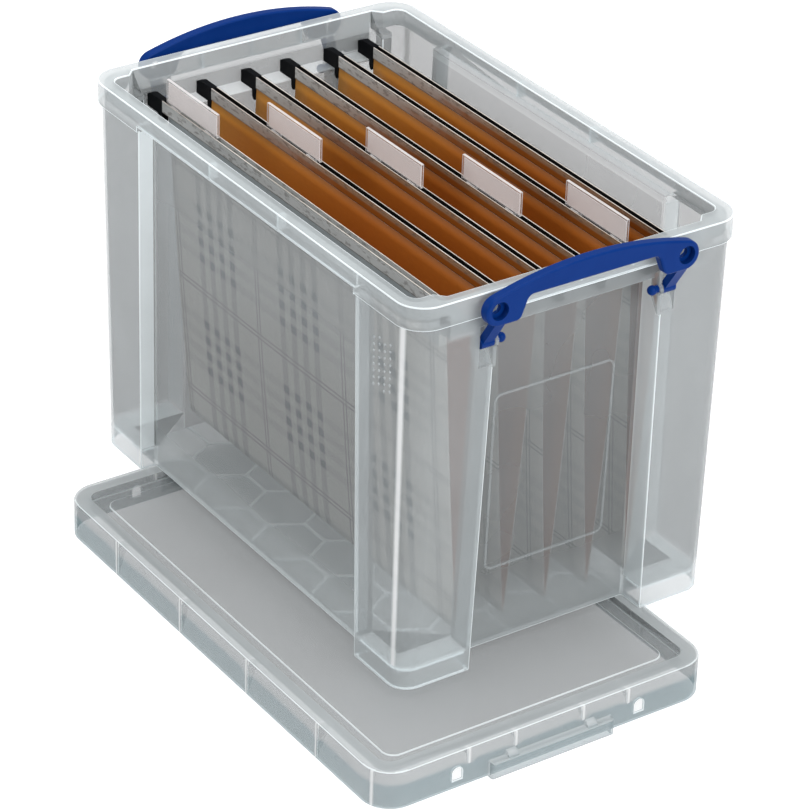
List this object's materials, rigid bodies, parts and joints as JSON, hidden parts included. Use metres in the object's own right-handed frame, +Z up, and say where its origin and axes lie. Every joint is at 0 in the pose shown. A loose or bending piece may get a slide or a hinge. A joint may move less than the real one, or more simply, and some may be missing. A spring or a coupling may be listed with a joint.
{
  "type": "lidded filing box",
  "caption": "Translucent lidded filing box with hinged latch handles, standing on its own lid and holding linked hanging files with index tabs.",
  "frame": {"origin": "middle of the footprint, at the lid's lower edge where it stands", "axes": "+X along the box's length, +Y across it, +Z up"},
  "size_m": [0.475, 0.312, 0.322],
  "materials": {
    "clear_tub": "translucent, semi-gloss, grey tint",
    "clear_lid": "translucent, semi-gloss, grey tint",
    "blue_plastic": "semi-gloss blue",
    "runner_steel": "satin grey",
    "black_plastic": "matt black",
    "amber_card": "amber brown inside, pale plaid outside",
    "clear_tab": "clear",
    "white_card": "blank white card"
  },
  "bodies": {
    "lid": {"lid": "clear_lid"},
    "box": {"tub": "clear_tub"},
    "right_handle": {"right_handle": "blue_plastic"},
    "left_handle": {"left_handle": "blue_plastic"},
    "files": {"runner_1": "runner_steel", "hook_right_1": "black_plastic", "hook_left_1": "black_plastic", "runner_2": "runner_steel", "hook_right_2": "black_plastic", "hook_left_2": "black_plastic", "runner_3": "runner_steel", "hook_right_3": "black_plastic", "hook_left_3": "black_plastic", "runner_4": "runner_steel", "hook_right_4": "black_plastic", "hook_left_4": "black_plastic", "runner_5": "runner_steel", "hook_right_5": "black_plastic", "hook_left_5": "black_plastic", "runner_6": "runner_steel", "hook_right_6": "black_plastic", "hook_left_6": "black_plastic", "pocket_1": "amber_card", "tab_1": "clear_tab", "card_1": "white_card", "pocket_2": "amber_card", "tab_2": "clear_tab", "card_2": "white_card", "pocket_3": "amber_card", "tab_3": "clear_tab", "card_3": "white_card", "pocket_4": "amber_card", "tab_4": "clear_tab", "card_4": "white_card", "pocket_5": "amber_card", "tab_5": "clear_tab", "card_5": "white_card"}
  },
  "joints": [
    {"name": "box_lift", "type": "slide", "parent": "lid", "child": "box", "axis": [0, 0, 1], "range_m": [0, 0.32]},
    {"name": "right_handle_hinge", "type": "hinge", "parent": "box", "child": "right_handle", "pos_m": [0.164, 0.0285, 0.2735], "axis": [0, 1, 0], "range_deg": [0, 125]},
    {"name": "left_handle_hinge", "type": "hinge", "parent": "box", "child": "left_handle", "pos_m": [-0.221, 0.0285, 0.2735], "axis": [0, -1, 0], "range_deg": [0, 125]},
    {"name": "files_lift", "type": "slide", "parent": "box", "child": "files", "axis": [0, 0, 1], "range_m": [0, 0.28]}
  ]
}
